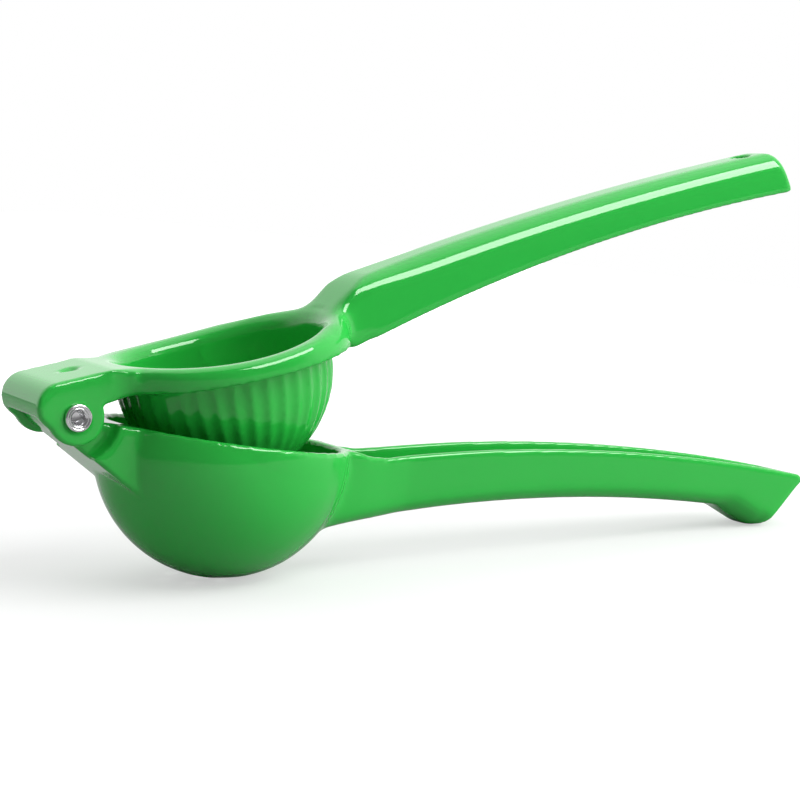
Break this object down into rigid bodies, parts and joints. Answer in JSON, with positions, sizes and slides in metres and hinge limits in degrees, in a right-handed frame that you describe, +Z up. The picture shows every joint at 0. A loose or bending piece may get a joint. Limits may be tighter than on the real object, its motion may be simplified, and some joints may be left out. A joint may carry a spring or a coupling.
{
  "type": "hinged lemon squeezer",
  "caption": "Hinged citrus squeezer: a fluted press cup on one arm swings into a drained bowl on the other about a rivet.",
  "frame": {"origin": "on the surface it stands on, below the middle of the whole squeezer", "axes": "+X from the hinge towards the handle ends, +Y across, +Z up"},
  "size_m": [0.233, 0.0676, 0.1084],
  "materials": {
    "green_enamel": "glossy green enamel over cast aluminium",
    "rivet_steel": "bright plated steel"
  },
  "bodies": {
    "lower": {"lower_arm": "green_enamel"},
    "upper": {"upper_arm": "green_enamel", "hinge_rivet": "rivet_steel"}
  },
  "joints": [
    {"name": "hinge", "type": "hinge", "parent": "lower", "child": "upper", "pos_m": [-0.10667, 0, 0.0459], "axis": [0, -1, 0], "range_deg": [-19.4, 86]}
  ]
}
